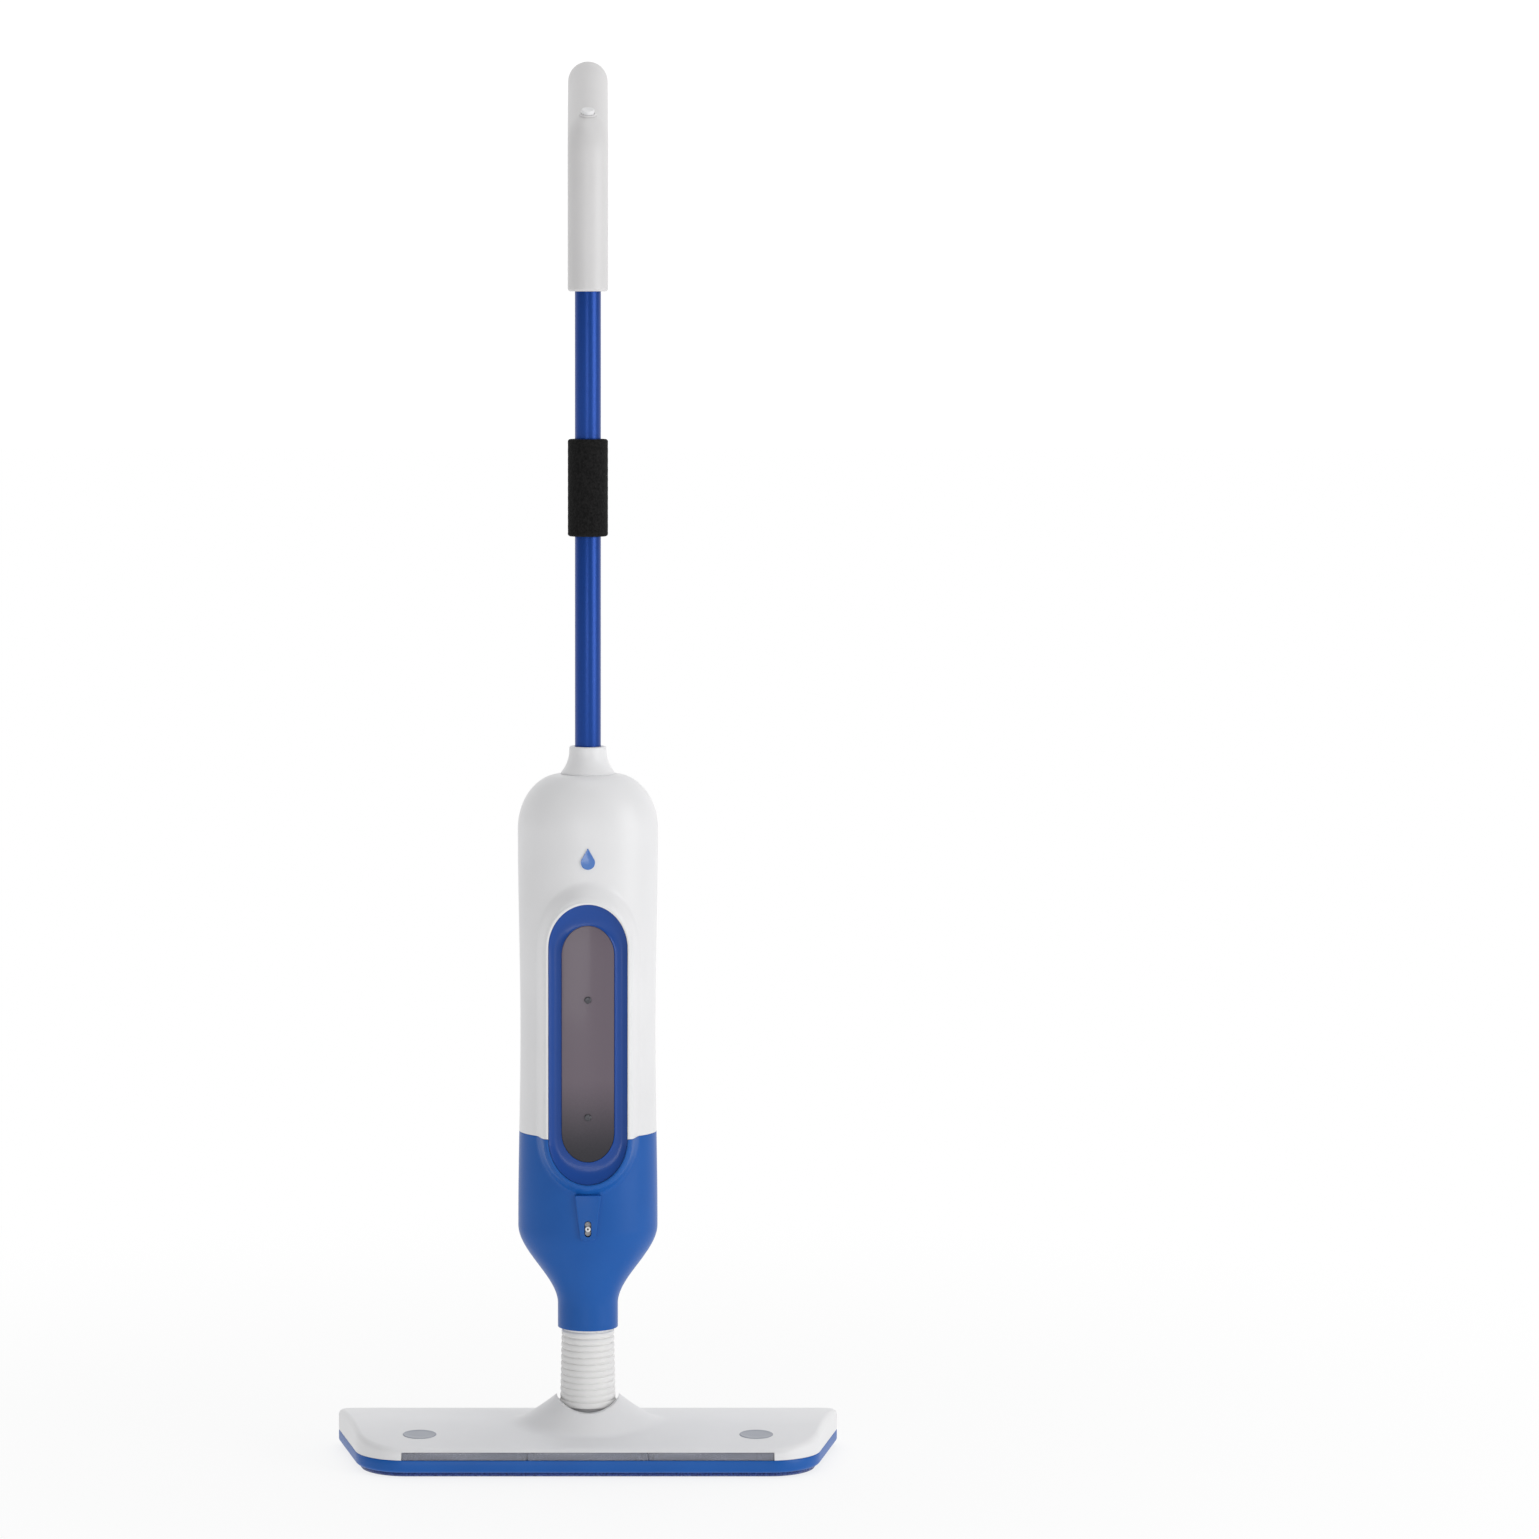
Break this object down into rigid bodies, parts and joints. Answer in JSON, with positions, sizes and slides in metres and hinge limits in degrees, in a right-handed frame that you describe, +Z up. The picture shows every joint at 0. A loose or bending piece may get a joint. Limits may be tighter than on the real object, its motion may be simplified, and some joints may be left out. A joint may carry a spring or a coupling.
{
  "type": "spray mop",
  "caption": "Cordless spray mop with a flat pad head on a two-axis swivel, a windowed tank body, a painted tube with a foam sleeve and a bent grip with a thumb button.",
  "frame": {"origin": "on the floor, directly below the axis of the upright tube", "axes": "+Z up along the tube, -Y toward the front (window and nozzle), +X to the right seen from the front"},
  "size_m": [0.4328, 0.196, 1.1968],
  "materials": {
    "white_shell": "satin moulded ABS",
    "blue_shell": "satin moulded ABS",
    "deep_blue": "gloss",
    "smoked": "smoked clear",
    "clear_strip": "translucent grey",
    "tank_clear": "clear blue",
    "blue_tube": "gloss metallic",
    "foam": "matt closed-cell foam",
    "boot_rubber": "satin soft rubber",
    "pad_cloth": "microfibre",
    "hook": "hook tape",
    "steel": "plain",
    "spring_steel": "plain",
    "dark_plastic": "fine grain",
    "grey_plastic": "fine grain",
    "seal": "matt",
    "hose": "silicone",
    "board": "solder mask",
    "cell": "shrink sleeve",
    "badge": "gloss"
  },
  "bodies": {
    "head": {"head_cover": "white_shell", "head_base": "blue_shell", "front_strip": "clear_strip", "strip_clips": "white_shell", "hook_strips": "hook", "cleaning_pad": "pad_cloth", "head_screws": "steel", "badge_plates": "badge", "detent_spring": "spring_steel", "pitch_pins": "steel"},
    "knuckle": {"swivel_knuckle": "grey_plastic", "pivot_bushes": "dark_plastic", "tilt_pin": "steel", "boot_clamp_ring": "boot_rubber", "ribbed_boot": "boot_rubber"},
    "mop": {"swivel_stem": "grey_plastic", "lower_front_shell": "blue_shell", "lower_rear_shell": "blue_shell", "upper_front_shell": "white_shell", "upper_rear_shell": "white_shell", "shell_screws": "steel", "window_bezel": "deep_blue", "window_panel": "smoked", "panel_screws": "steel", "droplet_emblem": "badge", "chassis_plate": "grey_plastic", "water_tank": "tank_clear", "inlet_hose": "hose", "pump_head": "dark_plastic", "pump_motor": "steel", "spray_hose": "hose", "nozzle_holder": "grey_plastic", "spray_nozzle": "white_shell", "battery_cells": "cell", "battery_holder": "dark_plastic", "control_board": "board", "charge_socket": "dark_plastic", "flap_pin": "steel", "pole_socket": "grey_plastic", "pole_collar": "white_shell", "pole_lower": "blue_tube", "pole_coupler": "dark_plastic", "pole_upper": "blue_tube", "foam_sleeve": "foam", "switch_cable": "seal", "handle_front_shell": "white_shell", "handle_rear_shell": "white_shell", "handle_screws": "steel", "button_bezel": "white_shell", "button_spring": "spring_steel", "microswitch": "dark_plastic"},
    "button": {"spray_button": "white_shell"},
    "cap": {"filler_cap": "white_shell", "cap_seal": "seal"},
    "flap": {"socket_flap": "deep_blue"}
  },
  "joints": [
    {"name": "head_pitch", "type": "hinge", "parent": "head", "child": "knuckle", "pos_m": [0, 0, 0.042], "axis": [-1, 0, 0], "range_deg": [0, 70]},
    {"name": "side_tilt", "type": "hinge", "parent": "knuckle", "child": "mop", "pos_m": [0, 0, 0.062], "axis": [0, 1, 0], "range_deg": [-35, 35], "deforming": ["ribbed_boot"]},
    {"name": "button_press", "type": "slide", "parent": "mop", "child": "button", "axis": [0, 0.4147, -0.91], "range_m": [0, 0.0025], "stiffness_N_per_m": 400, "springref_m": -0.0005, "deforming": ["button_spring"]},
    {"name": "cap_turn", "type": "hinge", "parent": "mop", "child": "cap", "pos_m": [0, 0.045, 0.505], "axis": [0, 1, 0], "range_deg": [0, 90]},
    {"name": "flap_open", "type": "hinge", "parent": "mop", "child": "flap", "pos_m": [0, 0.0492, 0.254], "axis": [1, 0, 0], "range_deg": [0, 100]}
  ]
}
